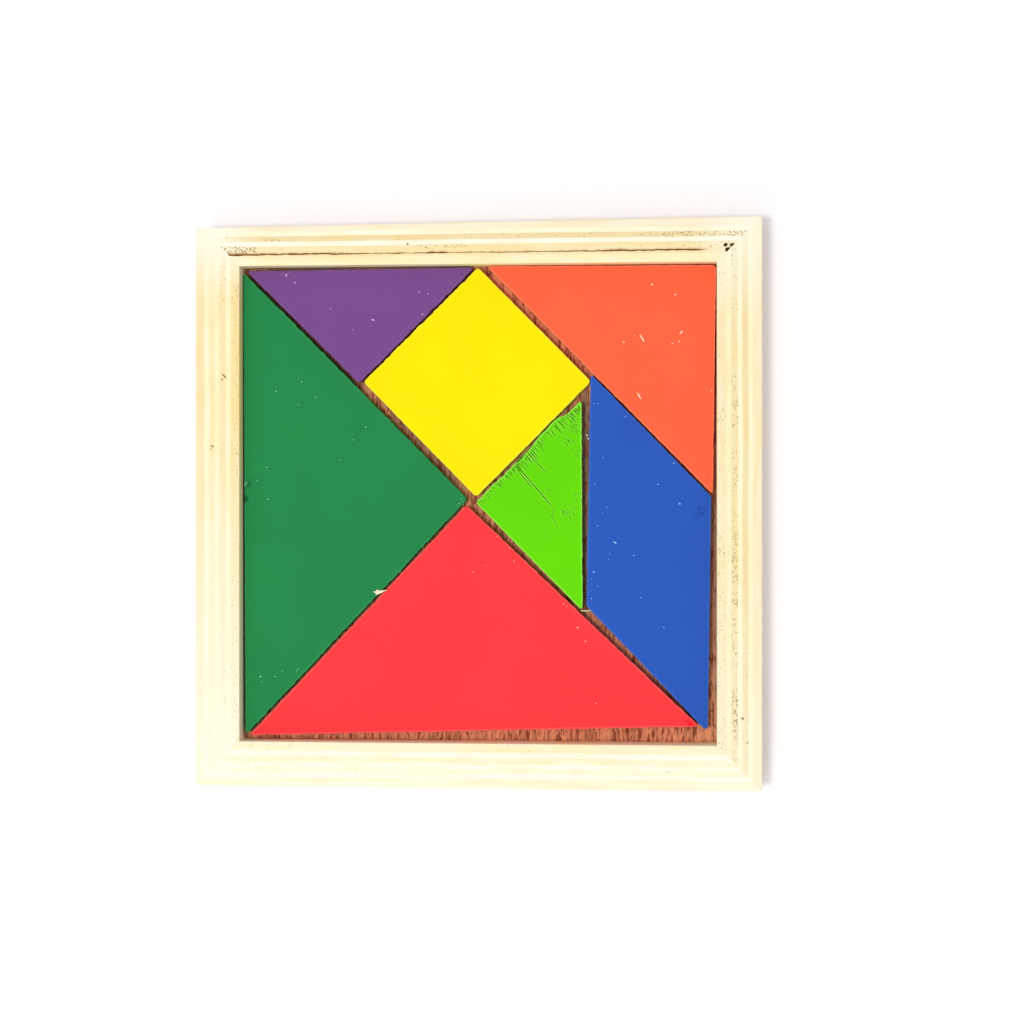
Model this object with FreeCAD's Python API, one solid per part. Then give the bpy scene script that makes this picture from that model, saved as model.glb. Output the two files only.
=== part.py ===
import FreeCAD, Part
import math
import os

# A tangram puzzle: seven painted wooden tans lying in a square tray.
# The tray is a thin panel with four mitred plywood strips glued on it. The strips stand on edge,
# so their plies show as parallel lines along the top of the rim.
# The origin is the middle of the underside. X points right, Y to the back and Z up.
# Lengths are in millimetres and angles in degrees.

# Sizes of the tray
outer_side = 115.4
base_thickness = 3.0
wall_height = 6.0                # height of the strips above the base panel
# plies of a strip, from the outer face to the opening
ply_thickness = [1.80, 1.00, 1.15, 0.95, 1.30, 1.05, 1.80]
corner_radius = 0.6              # upright outer corners of the tray
rim_edge_radius = 0.3            # long top edges of the strips
foot_edge_radius = 0.3           # lower edge all round the base panel
sanded_off = 0.9                 # missing from the back face at its left end, nothing at its right end

# Sizes of the lines between the plies
glue_line_width = 0.18
glue_line_depth = 0.12
open_line_width = 0.35           # one line of the back strip has come open
open_line_depth = 1.5
plies_outside_open_line = 5      # plies between the back face and the open line
open_line_end_gap = 1.5          # solid wood left between the open line and each mitre

# Sizes of the tans
tan_thickness = 3.0
square_corner_radius = 0.8       # upright corners of 90 degrees or more
tip_radius = 0.4                 # upright corners of 45 degrees
tan_edge_radius = 0.25           # upper edges, rounded before painting
tan_foot_chamfer = 0.15          # lower edges

# Each tan's share of the square opening, as corners in quarters of its side, counterclockwise
SHARES = {
    "large_triangle_green": [(-2, -2), (0, 0), (-2, 2)],
    "large_triangle_red": [(2, -2), (0, 0), (-2, -2)],
    "medium_triangle_orange": [(2, 0), (2, 2), (0, 2)],
    "small_triangle_purple": [(0, 2), (-2, 2), (-1, 1)],
    "small_triangle_lime": [(1, 1), (0, 0), (1, -1)],
    "square_yellow": [(0, 0), (1, 1), (0, 2), (-1, 1)],
    "parallelogram_blue": [(2, -2), (2, 0), (1, 1), (1, -1)],
}

# Wood missing from the edges of each share, in the order of its corners and then again from the
# first: one amount for all three edges of a triangle, two for the sides of a four-sided tan.
# Below zero the tan came out larger than its share
TRIM = {
    "large_triangle_green": [0.40],
    "large_triangle_red": [1.05],
    "medium_triangle_orange": [0.64],
    "small_triangle_purple": [0.28],
    "small_triangle_lime": [0.90],
    "square_yellow": [0.58, 0.56],
    "parallelogram_blue": [-0.43, 0.44],
}

# How the saw ran out of true towards one corner: the number of the corner, then more wood missing
# there from the edge before it and from the edge after it, nothing more at their other ends
RUN_OUT = {
    "large_triangle_green": (1, 1.50, 0.75),
    "large_triangle_red": (1, 0.26, -0.20),
    "medium_triangle_orange": (1, -0.33, -0.20),
    "small_triangle_purple": (2, -0.07, 0.33),
    "small_triangle_lime": (1, 0.03, 0.47),
    "square_yellow": (1, 0.27, -0.10),
    "parallelogram_blue": (1, 0.21, -0.29),
}

# How each tan has slid in the tray, to the right and to the back, and how far one end of its
# longest edge stands off from the other, more than zero where the tan is turned to the left
SLIDE = {
    "large_triangle_green": (0.10, 0.24, 0.51),
    "large_triangle_red": (-1.36, 1.38, 2.32),
    "medium_triangle_orange": (0.07, 0.26, -0.53),
    "small_triangle_purple": (0.08, -0.20, 0.20),
    "small_triangle_lime": (-2.07, -0.04, 0.29),
    "square_yellow": (-0.19, 0.47, -0.30),
    "parallelogram_blue": (-1.57, 2.20, -0.91),
}

# Sizes that follow from the ones above
strip_width = sum(ply_thickness)
opening_side = outer_side - 2 * strip_width
rim_top = base_thickness + wall_height
half_outer = outer_side / 2
half_opening = opening_side / 2
tolerance = 1e-6                 # closest two sizes can be and still count as the same


def prism(points, bottom, height):
    """Upright prism over a polygon."""
    corners = [FreeCAD.Vector(x, y, bottom) for x, y in points]
    face = Part.Face(Part.makePolygon(corners + corners[:1]))
    return face.extrude(FreeCAD.Vector(0, 0, height))


def upright_edges(shape):
    """Edges that run along Z."""
    found = []
    for edge in shape.Edges:
        run = edge.Vertexes[-1].Point - edge.Vertexes[0].Point
        if math.hypot(run.x, run.y) < tolerance:
            found.append(edge)
    return found


def level_edges(shape, height):
    """Edges that lie flat at one height."""
    found = []
    for edge in shape.Edges:
        if all(abs(vertex.Z - height) < tolerance for vertex in edge.Vertexes):
            found.append(edge)
    return found


def tray_block(bottom, height):
    """Outside form of the tray: a square with rounded corners and its back face out of square."""
    outline = [
        (-half_outer, -half_outer),
        (half_outer, -half_outer),
        (half_outer, half_outer),
        (-half_outer, half_outer - sanded_off),
    ]
    block = prism(outline, bottom, height)
    return block.makeFillet(corner_radius, upright_edges(block))


def make_base():
    """Panel under the whole tray, with its lower edge rounded."""
    panel = tray_block(0, base_thickness)
    return panel.makeFillet(foot_edge_radius, level_edges(panel, 0))


def rim_edges(strip):
    """Long top edges of a strip, without the ones along its two mitres."""
    found = []
    for edge in level_edges(strip, rim_top):
        middle = edge.valueAt((edge.FirstParameter + edge.LastParameter) / 2)
        if abs(abs(middle.x) - abs(middle.y)) > tolerance:
            found.append(edge)
    return found


def glue_line(distance):
    """V along the top of the back strip, at a distance in from its outer face."""
    middle = half_outer - distance
    section = [
        FreeCAD.Vector(-half_outer, middle - glue_line_width, rim_top + glue_line_depth),
        FreeCAD.Vector(-half_outer, middle, rim_top - glue_line_depth),
        FreeCAD.Vector(-half_outer, middle + glue_line_width, rim_top + glue_line_depth),
    ]
    face = Part.Face(Part.makePolygon(section + section[:1]))
    return face.extrude(FreeCAD.Vector(outer_side, 0, 0))


def open_line():
    """Slot where the plies of the back strip have come apart."""
    middle = half_outer - sum(ply_thickness[:plies_outside_open_line])
    half_length = middle - open_line_end_gap
    corner = FreeCAD.Vector(-half_length, middle - open_line_width / 2, rim_top - open_line_depth)
    return Part.makeBox(2 * half_length, open_line_width, open_line_depth, corner)


def make_strip(turn):
    """Strip with mitred ends, made at the back of the tray and turned about Z to its side."""
    outline = [
        (-half_opening, half_opening),
        (-half_outer, half_outer),
        (half_outer, half_outer),
        (half_opening, half_opening),
    ]
    strip = prism(outline, base_thickness, wall_height)
    strip.rotate(FreeCAD.Vector(0, 0, 0), FreeCAD.Vector(0, 0, 1), turn)
    strip = strip.common(tray_block(base_thickness, wall_height)).Solids[0]
    strip = strip.makeFillet(rim_edge_radius, rim_edges(strip))
    for count in range(1, len(ply_thickness)):
        line = glue_line(sum(ply_thickness[:count]))
        line.rotate(FreeCAD.Vector(0, 0, 0), FreeCAD.Vector(0, 0, 1), turn)
        strip = strip.cut(line)
    return strip


def shifted_edge(start, end, start_amount, end_amount):
    """Edge moved into its share, by one amount at its start and another at its end."""
    inward = FreeCAD.Vector(start.y - end.y, end.x - start.x, 0)
    inward.normalize()
    return start + inward * start_amount, end + inward * end_amount


def crossing(first, second):
    """Point where the lines through two edges cross."""
    run = first[1] - first[0]
    other = second[1] - second[0]
    gap = second[0] - first[0]
    share = (gap.x * other.y - gap.y * other.x) / (run.x * other.y - run.y * other.x)
    return first[0] + run * share


def trimmed_outline(name):
    """Corners of a tan as it was cut, still lying square in its share of the opening."""
    quarter = opening_side / 4
    corners = [FreeCAD.Vector(x * quarter, y * quarter, 0) for x, y in SHARES[name]]
    count = len(corners)
    amounts = [TRIM[name][number % len(TRIM[name])] for number in range(count)]
    starts = list(amounts)
    ends = list(amounts)
    corner, edge_before, edge_after = RUN_OUT[name]
    ends[corner - 1] += edge_before
    starts[corner] += edge_after
    edges = []
    for number in range(count):
        following = corners[(number + 1) % count]
        edges.append(shifted_edge(corners[number], following, starts[number], ends[number]))
    outline = [crossing(edges[number - 1], edges[number]) for number in range(count)]
    return corners, outline


def round_corners(tan, outline):
    """Upright corners rounded, the narrow tips less than the wide corners."""
    for number, corner in enumerate(outline):
        before = outline[number - 1] - corner
        after = outline[(number + 1) % len(outline)] - corner
        narrow = math.degrees(before.getAngle(after)) < (45 + 90) / 2
        radius = tip_radius if narrow else square_corner_radius
        near = [edge for edge in upright_edges(tan)
                if math.hypot(edge.Vertexes[0].X - corner.x, edge.Vertexes[0].Y - corner.y) < tolerance]
        tan = tan.makeFillet(radius, near)
    return tan


def make_tan(name):
    """Flat piece with rounded corners and broken edges, resting on the base panel."""
    corners, outline = trimmed_outline(name)
    tan = prism([(point.x, point.y) for point in outline], base_thickness, tan_thickness)
    tan = round_corners(tan, outline)
    tan = tan.makeFillet(tan_edge_radius, level_edges(tan, base_thickness + tan_thickness))
    tan = tan.makeChamfer(tan_foot_chamfer, level_edges(tan, base_thickness))

    to_right, to_back, stand_off = SLIDE[name]
    middle = sum(corners, FreeCAD.Vector(0, 0, 0)) * (1 / len(corners))
    longest = max((corners[number] - corners[number - 1]).Length for number in range(len(corners)))
    tan.rotate(middle, FreeCAD.Vector(0, 0, 1), math.degrees(math.asin(stand_off / longest)))
    tan.translate(FreeCAD.Vector(to_right, to_back, 0))
    return tan


pieces = {"base_panel": make_base()}
pieces["frame_strip_back"] = make_strip(0).cut(open_line())
pieces["frame_strip_left"] = make_strip(90)
pieces["frame_strip_front"] = make_strip(180)
pieces["frame_strip_right"] = make_strip(270)
for tan_name in SHARES:
    pieces[tan_name] = make_tan(tan_name)

os.makedirs("parts", exist_ok=True)
for node, shape in pieces.items():
    if len(shape.Solids) != 1 or not shape.isValid():
        raise ValueError(node + " is not one sound solid")
    shape.Solids[0].exportStep("parts/" + node + ".step")
    print(node, round(shape.Volume, 1), "mm3")
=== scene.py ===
import math
import random

import bmesh
import bpy
from mathutils import Matrix, Vector, noise


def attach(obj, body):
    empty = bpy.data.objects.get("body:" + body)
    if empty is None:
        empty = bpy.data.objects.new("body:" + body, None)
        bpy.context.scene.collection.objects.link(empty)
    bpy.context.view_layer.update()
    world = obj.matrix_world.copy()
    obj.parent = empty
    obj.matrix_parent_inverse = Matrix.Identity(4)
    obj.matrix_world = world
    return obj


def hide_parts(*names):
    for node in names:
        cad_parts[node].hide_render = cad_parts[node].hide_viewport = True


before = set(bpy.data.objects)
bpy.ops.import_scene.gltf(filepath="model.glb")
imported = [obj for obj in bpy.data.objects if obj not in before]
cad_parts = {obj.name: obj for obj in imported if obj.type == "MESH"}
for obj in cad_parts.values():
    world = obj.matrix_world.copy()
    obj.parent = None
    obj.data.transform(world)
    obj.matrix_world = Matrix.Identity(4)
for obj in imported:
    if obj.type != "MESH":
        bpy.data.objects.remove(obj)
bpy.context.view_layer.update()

# Tangram in a plywood tray, seen from almost straight above.
# Meshes are made in millimetres and turned to metres at the end by mm.
mm = 0.001
scene = bpy.context.scene

tray = {
    "outerSide": 115.4,
    "baseTop": 3.0,                # top of the base panel, where the tans lie
    "rimTop": 9.0,
    "plies": [1.80, 1.00, 1.15, 0.95, 1.30, 1.05, 1.80],   # from the outer face to the opening
    "sandedOff": 1.15,             # missing from the back face at its left end
    "askew": 0.3,                  # how far the plies of the back strip stand further in at that end
    "cornerRadius": 0.6,
    "edgeRadius": 0.15,
    "grain": 0.985,                # tone of the darkest grain in a ply
}
halfOuter = tray["outerSide"] / 2
stripWidth = sum(tray["plies"])
plyLines = [sum(tray["plies"][:count]) for count in range(1, len(tray["plies"]))]
plyBorders = [0.0] + plyLines + [stripWidth]
near = 0.02                                    # slack for picking vertices at a known height
apart = 200                                    # between the strips' patterns, so that none is alike
manyCorners = 40                               # only the large flat faces have more corners
colourA, colourB, colourOut = 6, 7, 2          # colour sockets of a Mix node


def linear(hexColour, tone=1.0):
    # sRGB hex to the linear values that shader sockets take, lighter or darker by tone
    parts = [int(hexColour[i:i + 2], 16) / 255 for i in (1, 3, 5)]
    flat = [p / 12.92 if p <= 0.04045 else ((p + 0.055) / 1.055) ** 2.4 for p in parts]
    return tuple(min(1.0, p * tone) for p in flat) + (1.0,)


def grey(value):
    return (value, value, value, 1.0)


def add(tree, kind, values=None, links=None, stops=None, **settings):
    # One node with its settings, its values, what is linked into it, and a ramp's (position, colour)
    # stops. A link comes from a socket, or from the first output where a node is given.
    made = tree.nodes.new("ShaderNode" + kind)
    for name, value in settings.items():
        setattr(made, name, value)
    for socket, value in (values or {}).items():
        made.inputs[socket].default_value = value
    for socket, source in (links or {}).items():
        tree.links.new(getattr(source, "outputs", [source])[0], made.inputs[socket])
    for number, (position, colour) in enumerate(stops or []):
        points = made.color_ramp.elements
        point = points[number] if number < len(points) else points.new(position)
        point.position = position
        point.color = colour
    return made


def between(low, high, first=0.0, last=1.0):
    # settings that turn a range of values into another one
    return {"From Min": low, "From Max": high, "To Min": first, "To Max": last}


def woodGrain(tree, place, scale, detail, turn=0.0, more=None):
    # noise drawn out into fibres or pores, by how many of them go into a unit of length each way
    drawnOut = add(tree, "Mapping", {"Scale": scale, "Rotation": (0, 0, turn)}, {"Vector": place})
    return add(tree, "TexNoise", {"Scale": 1.0, "Detail": detail, **(more or {})}, {"Vector": drawnOut})


def layered(tree, colour, layers):
    # each layer's colour is laid over what is below it, as far as its mask lets it
    for mask, above in layers:
        colour = add(tree, "Mix", {colourB: above}, {0: mask, colourA: colour},
                     data_type="RGBA").outputs[colourOut]
    return colour


def newMaterial(name):
    material = bpy.data.materials.new(name)
    material.use_nodes = True
    tree = material.node_tree
    tree.nodes.clear()
    shader = add(tree, "BsdfPrincipled")
    add(tree, "OutputMaterial", links={"Surface": shader})
    return material, tree, shader


def finishShader(tree, shader, colour, height, strength, depth, fixed):
    # colour and relief are linked in, and what is the same all over goes straight onto the sockets
    bump = add(tree, "Bump", {"Strength": strength, "Distance": depth * mm}, {"Height": height})
    tree.links.new(bump.outputs[0], shader.inputs["Normal"])
    tree.links.new(colour, shader.inputs["Base Color"])
    for socket, value in fixed.items():
        shader.inputs[socket].default_value = value


def smooth(value, low=0.0, high=1.0):
    share = min(1.0, max(0.0, (value - low) / (high - low)))
    return share * share * (3 - 2 * share)


def wander(distance, size, seed):
    # smooth random value from about -1 to 1 that changes over a length of size millimetres
    return noise.noise(Vector((distance / size, seed * 7.31, 0.37)))


def allOf(bm):
    return bm.verts[:] + bm.edges[:] + bm.faces[:]


def cut(bm, at, across, only=None):
    return bmesh.ops.bisect_plane(bm, geom=only or allOf(bm), plane_co=at, plane_no=across)


def bevel(bm, parts, offset, segments=3, affect="EDGES"):
    bmesh.ops.bevel(bm, geom=parts, offset=offset, segments=segments, profile=0.5, affect=affect,
                    material=-1)


def fill(bm, outline, height):
    bm.faces.new([bm.verts.new((x, y, height)) for x, y in outline])


def thicken(bm, height):
    grown = bmesh.ops.extrude_face_region(bm, geom=bm.faces[:])["geom"]
    moved = [part for part in grown if isinstance(part, bmesh.types.BMVert)]
    bmesh.ops.translate(bm, vec=(0, 0, height), verts=moved)


def edgesWithin(bm, low, high):
    return [edge for edge in bm.edges if all(low < vert.co.z < high for vert in edge.verts)]


def finishMesh(bm, name, smoothAngle=40):
    bmesh.ops.recalc_face_normals(bm, faces=bm.faces)
    bmesh.ops.scale(bm, vec=(mm, mm, mm), verts=bm.verts)
    mesh = bpy.data.meshes.new(name)
    bm.to_mesh(mesh)
    bm.free()
    mesh.shade_smooth()
    mesh.set_sharp_from_angle(angle=math.radians(smoothAngle))
    for face in mesh.polygons:
        if len(face.vertices) > manyCorners:       # the large flat faces stay flat to their border
            for loop in face.loop_indices:
                mesh.edges[mesh.loops[loop].edge_index].use_edge_sharp = True
    return mesh


def newPiece(name, mesh, materials, node=None):
    piece = bpy.data.objects.new(name, mesh)
    scene.collection.objects.link(piece)
    for material in materials:
        piece.data.materials.append(material)
    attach(piece, "root")
    if node:
        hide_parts(node)
    return piece


# Poplar plywood standing on edge, sawn and sanded, no finish. The plies take turns: long grain is
# pale and streaked along the strip, end grain is tanner, with torn pores that show as brown flecks.
def plywood(name, look):
    material, tree, shader = newMaterial(name)
    place = add(tree, "Attribute", attribute_name="plyCoord").outputs["Vector"]
    split = add(tree, "SeparateXYZ", links={0: place})
    depthShare = add(tree, "Math", {1: stripWidth}, {0: split.outputs["Y"]}, operation="DIVIDE")
    plyTone, plyLong = [], []
    for number, colour in enumerate(look["plyColours"]):
        for position in (plyBorders[number] + 0.1, plyBorders[number + 1] - 0.1):
            plyTone.append((position / stripWidth, linear(colour)))
            plyLong.append((position / stripWidth, grey(number % 2)))
    tone = add(tree, "ValToRGB", links={0: depthShare}, stops=plyTone)
    longGrain = add(tree, "ValToRGB", links={0: depthShare}, stops=plyLong)

    # long grain: fibres about 0.35 mm wide and 12 mm long
    streaks = woodGrain(tree, place, (0.08, 2.8, 2.8), 3.0)
    # end grain: pores about 0.25 mm apart that run down through the ply
    pores = woodGrain(tree, place, (4.0, 4.0, 0.35), 2.0)
    grain = add(tree, "Mix", links={0: longGrain, 2: pores, 3: streaks})
    grainTone = add(tree, "MapRange", between(0.3, 0.7, tray["grain"], 2 - tray["grain"]), {"Value": grain})
    # patches of warmer wood, 10 mm long, where the veneer knife went through a growth ring
    rings = woodGrain(tree, place, (0.09, 0.9, 0.1), 1.0)
    ringTone = add(tree, "ValToRGB", links={0: rings},
                   stops=[(0.35, linear("#fff9ec")), (0.6, linear("#ffffff"))])
    wood = tone
    for change in (grainTone, ringTone):
        wood = add(tree, "VectorMath", links={0: wood, 1: change}, operation="MULTIPLY")
    # the wood is paler along the given stretches towards the ends of a strip; on the long stretches that run
    # towards the front this is painted light, where the lamp washes the tray out
    layers = []
    for start, end, amount in look["paler"]:
        along = between(start + look["seed"] * apart, end + look["seed"] * apart, 0, amount)
        layers.append((add(tree, "MapRange", along, {"Value": split.outputs["X"]}), linear("#fffbe6")))

    # torn pores: strokes of 0.15 by 0.35 mm that slant both ways, as many as the fleck attribute asks for
    density = add(tree, "Attribute", attribute_name="fleck").outputs["Fac"]
    shake = add(tree, "TexNoise", {"Scale": 2.5, "Detail": 2.0}, {"Vector": place})
    shaken = add(tree, "VectorMath", {1: (0.5, 0.5, 0.5)}, {0: shake.outputs["Color"], 2: place},
                 operation="MULTIPLY_ADD")
    strokes = []
    for turn, shift in ((0.65, 0.0), (-0.6, 40.0)):
        slant = add(tree, "Mapping", {"Rotation": (0, 0, turn), "Scale": (1.5, 3.4, 1.2),
                                      "Location": (shift, 0, 0)}, {"Vector": shaken})
        cells = add(tree, "TexVoronoi", {"Scale": 1.0}, {"Vector": slant})
        stroke = add(tree, "MapRange", between(0.38, 0.2), {"Value": cells})
        chance = add(tree, "SeparateXYZ", links={0: cells.outputs["Color"]})
        picked = add(tree, "Math", links={0: chance, 1: density}, operation="LESS_THAN")
        strokes.append(add(tree, "Math", links={0: stroke, 1: picked}, operation="MULTIPLY"))
    either = add(tree, "Math", links={0: strokes[0], 1: strokes[1]}, operation="MAXIMUM")
    strength = add(tree, "MapRange", between(0, 0.8, 0.4, 0.95), {"Value": density})
    flecks = add(tree, "Math", links={0: either, 1: strength}, operation="MULTIPLY")
    # bottoms of the open glue line, pits and knots: brown, partly old glue and the knots' own colour and
    # partly painted shade down in the line and the holes; nearly black painted shade in the deep pits and the
    # gaping line
    dark = add(tree, "Attribute", attribute_name="dark").outputs["Fac"]
    deepShade = add(tree, "MapRange", between(1, 2), {"Value": dark})
    layers += [(flecks, linear("#93741e")), (dark, linear(look["darkColour"])), (deepShade, linear("#3c2416"))]
    wood = layered(tree, wood, layers)
    relief = add(tree, "Math", {1: -0.8}, {0: flecks, 2: grain}, operation="MULTIPLY_ADD")
    finishShader(tree, shader, wood, relief, 0.4, 0.05, {"Roughness": 0.62, "Specular IOR Level": 0.2})
    return material


# Each strip as it lies at the back, with lengths from its middle and positive towards its right end.
# "flecks" is how common they are in each ply, "busy" where they grow more common and how much,
# "paler" where the wood grows paler and how much. A burst of splintered wood is its start, end, outer
# and inner limit and strength. A mark is a hole or stroke: its place along the strip and in from the
# outer face, length, width, turn in degrees and depth.
strips = {
    "frame_strip_back": {
        "turn": 0, "seed": 1, "darkColour": "#a26a14",
        "plyColours": ["#fdf1d6", "#fffbdd", "#f3deac", "#fffdea", "#fbe8b6", "#fae8b8", "#fef3c6"],
        "flecks": [0, 0, 0.07, 0, 0.03, 0, 0], "busy": (24, 38, 7.0),
        "paler": [(-44, -54, 0.85), (44, 54, 0.7)],
        "bursts": [(-53.0, -43.5, 4.9, 6.3, 1.0), (-44.0, -37.0, 3.5, 3.9, 0.6),
                   (-37.0, -32.0, 2.8, 3.5, 0.3), (-12.5, 0.5, 4.9, 5.5, 0.4)],
        "marks": [(50.4, 5.63, 0.46, 0.38, 30, 0.9), (50.8, 6.5, 0.56, 0.44, 60, 1.4),
                  (51.75, 5.63, 0.34, 0.52, 100, 1.3), (-14.0, 4.7, 0.26, 0.18, 20, 0.4)],
    },
    "frame_strip_left": {
        "turn": 90, "seed": 2, "darkColour": "#8a5c1c",
        "plyColours": ["#fce4b2", "#fff8d4", "#fbecbe", "#fff4c9", "#fde6b8", "#fff5c8", "#f8e3a9"],
        "flecks": [0, 0, 0.02, 0, 0.03, 0, 0.12], "busy": (10, 52, 1.3),
        "paler": [(20, -50, 0.8), (42, 53, 0.85)], "bursts": [],
        "marks": [(26.2, 5.85, 0.75, 0.13, 45, 0.35), (25.5, 5.45, 0.25, 0.15, 0, 0.25),
                  (11.8, 3.4, 0.4, 0.13, 60, 0.3), (11.2, 3.1, 0.25, 0.14, 10, 0.25)],
    },
    "frame_strip_front": {
        "turn": 180, "seed": 3, "darkColour": "#8a5c1c",
        # the front strip's plies are nearly white: painted light, where the lamp washes the front of the tray
        # out
        "plyColours": ["#fdf8da", "#fffdea", "#fef9dc", "#fffeea", "#fdf6d4", "#fffceb", "#fcf2cc"],
        "flecks": [0, 0, 0.015, 0, 0.02, 0, 0.02], "busy": (30, 50, 2.5),
        "paler": [(0, 50, 0.3), (-38, -50, 0.35)], "bursts": [], "marks": [],
    },
    "frame_strip_right": {
        "turn": 270, "seed": 4, "darkColour": "#8a5c1c",
        "plyColours": ["#fbedc8", "#fff9d4", "#f4e2b2", "#fff8d0", "#f6e6b6", "#fef4ca", "#fbecc4"],
        "flecks": [0, 0, 0.02, 0, 0.16, 0, 0.06], "busy": (-28, -20, 3.2),
        "paler": [(10, 56, 0.35), (-38, -52, 0.65)],
        "bursts": [(38.0, 49.5, 5.0, 6.0, 1.0), (22.0, 33.0, 5.2, 5.9, 0.7), (6.0, 14.0, 5.2, 5.9, 0.6)],
        "marks": [(43.1, 3.95, 0.26, 0.3, 0, 0.3), (48.0, 3.0, 0.2, 0.18, 0, 0.3)],
    },
}
# The open glue line of the back strip. It is a hair wide but gapes at both ends and at one gash near
# the middle, and it has crept towards the opening. Pairs are where a change starts and where it ends.
openLine = {
    "line": 4, "start": (-52.6, -51.8), "end": (44.5, 48), "leftGape": (-20, -32),
    "rightGape": (18, 30), "gashStart": (-11, -9), "gashEnd": (-8, -3.5), "depth": 0.28,
    "crept": 0.42, "creptEnd": (46, 49.5),
}
openAt = plyLines[openLine["line"]]
facesAlong = 420                   # cuts along a strip
onLine = 0.16                      # rows of faces this far to either side of a glue line
inPly = (0.36, 0.66)               # rows at these shares of a ply
sideLevels = (3.5, 5.0, 6.6, 8.0)  # rows down the upright faces


def burstAt(vert, x, inward, look, fleck, dark):
    # splintered wood, which starts aslant and thins out along the strip
    for start, end, low, high, strength in look["bursts"]:
        if low <= inward <= high:
            reach = smooth(x - start - 1.1 * (inward - low), -0.2, 0.3) * (1 - smooth(x, end - 3.5, end))
            specks = smooth(noise.noise(Vector((x * 2.6, inward * 3.1, look["seed"] + 0.5))), 0.0, 0.35)
            vert[fleck] = max(vert[fleck], strength * reach)
            vert[dark] = 0.75 * strength * reach * specks * smooth(strength, 0.5, 1.0)


def makeStrip(node, look):
    bm = bmesh.new()
    bmesh.ops.create_cube(bm, size=2)
    # x is a share of the way to the mitres until the end, y and z are already millimetres
    height = tray["rimTop"] - tray["baseTop"]
    centre = (0, halfOuter - stripWidth / 2, tray["baseTop"] + height / 2)
    bmesh.ops.scale(bm, vec=(1, stripWidth / 2, height / 2), verts=bm.verts)
    bmesh.ops.translate(bm, vec=centre, verts=bm.verts)
    topLevel = tray["rimTop"] - near
    arrises = [edge for edge in edgesWithin(bm, topLevel, math.inf)
               if edge.verts[0].co.x * edge.verts[1].co.x < 0]
    bevel(bm, arrises, tray["edgeRadius"])
    # rows for the plies and their glue lines
    rows = [line + side for line in plyLines for side in (-onLine, 0.0, onLine)]
    for start, end in zip(plyBorders, plyBorders[1:]):
        rows += [start + (end - start) * share for share in inPly]
    for row in rows:
        cut(bm, (0, halfOuter - row, 0), (0, 1, 0))
    for level in sideLevels:
        cut(bm, (0, 0, level), (0, 0, 1))
    longEdges = [edge for edge in bm.edges if edge.verts[0].co.x * edge.verts[1].co.x < -0.5]
    bmesh.ops.subdivide_edges(bm, edges=longEdges, cuts=facesAlong, use_grid_fill=True)

    # finer faces where a mark goes in
    for along, inward, length, width, turn, depth in look["marks"]:
        middle = Vector((along, halfOuter - inward))
        around = set()
        for face in bm.faces:
            x, y, z = face.calc_center_median()
            if z > topLevel and (Vector((x * y, y)) - middle).length < length + 0.3:
                around.update(face.edges)
        bmesh.ops.subdivide_edges(bm, edges=list(around), cuts=2, use_grid_fill=True)

    place = bm.verts.layers.float_vector.new("plyCoord")
    dark = bm.verts.layers.float.new("dark")
    fleck = bm.verts.layers.float.new("fleck")
    seed = look["seed"]
    busyStart, busyEnd, busyTimes = look["busy"]
    for vert in bm.verts:
        share, y, z = vert.co
        inward = halfOuter - y
        x = share * y
        onTop = z > topLevel
        vert[place] = (x + seed * apart, inward, z - tray["baseTop"])
        # the plies wander a little along the strip, the two faces stay straight
        middleShare = math.sin(math.pi * min(1, max(0, inward / stripWidth)))
        y += 0.12 * middleShare * wander(x, 17, seed + inward * 0.02)
        y += 0.025 * middleShare * wander(x, 2.5, seed + inward)
        lineDistance = min(abs(inward - line) for line in plyLines)
        if onTop:
            z += 0.02 * wander(x, 9, seed + 20 + round(inward)) + 0.01 * wander(x, 0.7, seed + inward * 3)
            if lineDistance < near:
                z -= 0.025 + 0.02 * wander(x, 1.5, seed + inward)
            ply = sum(inward > line for line in plyLines)
            common = look["flecks"][ply] * (1 + (busyTimes - 1) * smooth(x, busyStart, busyEnd))
            patchy = 1 + 1.6 * wander(x, 7, seed + 50 + ply) + 1.2 * wander(x, 1.9, seed + 60 + ply)
            vert[fleck] = common * max(0.0, patchy)
            burstAt(vert, x, inward, look, fleck, dark)
        if node == "frame_strip_back":
            if onTop and abs(inward - openAt) < 0.2:
                isOpen = smooth(x, *openLine["start"]) * (1 - smooth(x, *openLine["end"]))
                gash = smooth(x, *openLine["gashStart"]) * (1 - smooth(x, *openLine["gashEnd"]))
                gapes = max(smooth(x, *openLine["leftGape"]), smooth(x, *openLine["rightGape"]), gash)
                ragged = (0.2 + 0.45 * gapes + 0.45 * wander(x, 1.1, 31) + 0.35 * wander(x, 0.45, 32)
                          + 0.5 * smooth(x, -46, -51))
                y += isOpen * 0.12 * wander(x, 0.9, 34)
                # the bottom of the open line is coloured dark: partly old glue, partly painted shade, darker
                # where it gapes
                if lineDistance < near:
                    z -= isOpen * (openLine["depth"] + 0.2 * wander(x, 3, 33))
                    vert[dark] = (0.95 + 0.65 * gapes) * isOpen * smooth(ragged, -0.35, 0.15)
                else:
                    side = 1 if inward < openAt else -1      # the two lips of the open line
                    y += side * isOpen * (0.03 + 0.1 * ragged) - side * 0.08
                    z -= isOpen * max(0, 0.1 * wander(x, 0.6, 35 + side))
                    vert[dark] = isOpen * min(1.0, 0.7 * max(0, ragged - 0.2))
            # the plies stand askew, and the open line has crept
            outermost = tray["plies"][0]
            leftShare = (halfOuter - x) / tray["outerSide"]
            shift = tray["askew"] * leftShare * (1 - (max(inward, outermost) / stripWidth) ** 2)
            crept = openLine["crept"] * math.exp(-((inward - openAt) / 0.7) ** 2)
            y -= shift + crept * smooth(inward, 4.0, 4.6) * (1 - smooth(x, *openLine["creptEnd"]))
            if inward < outermost:
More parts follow.
